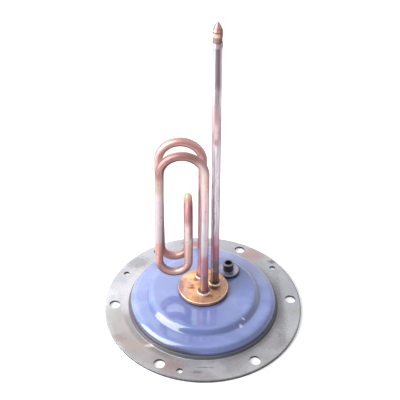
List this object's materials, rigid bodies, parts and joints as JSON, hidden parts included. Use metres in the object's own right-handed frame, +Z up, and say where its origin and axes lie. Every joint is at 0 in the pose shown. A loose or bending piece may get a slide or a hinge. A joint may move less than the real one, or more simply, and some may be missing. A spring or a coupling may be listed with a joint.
{
  "type": "immersion heating element",
  "caption": "Used water heater element: folded copper tube and tall sensor pocket on a round brass plate, over a stepped blue enamel dish and a bolted steel flange ring.",
  "frame": {"origin": "centre of the underside of the flange ring, on which the assembly stands", "axes": "+Z up along the tubes, -Y towards the side that the picture shows, +X to its right"},
  "size_m": [0.2, 0.2, 0.3054],
  "materials": {
    "stained_steel": "worn grey steel with rust and water stains",
    "blue_enamel": "glossy vitreous enamel",
    "black_rubber": "matte",
    "stained_brass": "satin, stained orange and brown",
    "bright_braze": "bright rounded braze metal",
    "heat_tinted_copper": "satin copper with heat tints",
    "pocket_copper": "satin copper with heat tints",
    "tip_copper": "dull red copper",
    "magnesia": "packed powder",
    "resistance_wire": "oxidised wire",
    "zinc_steel": "zinc plated",
    "tinned_brass": "tinned",
    "black_plastic": "moulded",
    "pale_insulator": "moulded",
    "pale_resin": "cast resin",
    "white_ceramic": "fired ceramic"
  },
  "bodies": {
    "root": {"flange_ring": "stained_steel", "enamel_dish": "blue_enamel", "plate_gasket": "black_rubber", "brass_plate": "stained_brass", "front_leg_collar": "bright_braze", "back_leg_collar": "bright_braze", "pocket_collar": "bright_braze", "element_sheath": "heat_tinted_copper", "magnesia_fill": "magnesia", "resistance_coil": "resistance_wire", "sensor_pocket": "pocket_copper", "pocket_tip": "tip_copper", "pocket_solder_band": "bright_braze", "clamp_stud": "zinc_steel", "clamp_plate": "zinc_steel", "clamp_spring_washer": "zinc_steel", "clamp_nut": "zinc_steel", "anode_socket": "zinc_steel", "anode_sleeve": "black_plastic", "anode_gasket": "black_rubber", "anode_bush": "pale_insulator", "anode_washer": "zinc_steel", "anode_lead_tab": "tinned_brass", "anode_nut": "zinc_steel", "earth_stud": "zinc_steel", "earth_washer": "zinc_steel", "earth_nut": "zinc_steel", "front_terminal_pin": "zinc_steel", "front_end_seal": "pale_resin", "front_insulator_bead": "white_ceramic", "front_terminal_tab": "tinned_brass", "back_terminal_pin": "zinc_steel", "back_end_seal": "pale_resin", "back_insulator_bead": "white_ceramic", "back_terminal_tab": "tinned_brass"}
  },
  "joints": []
}
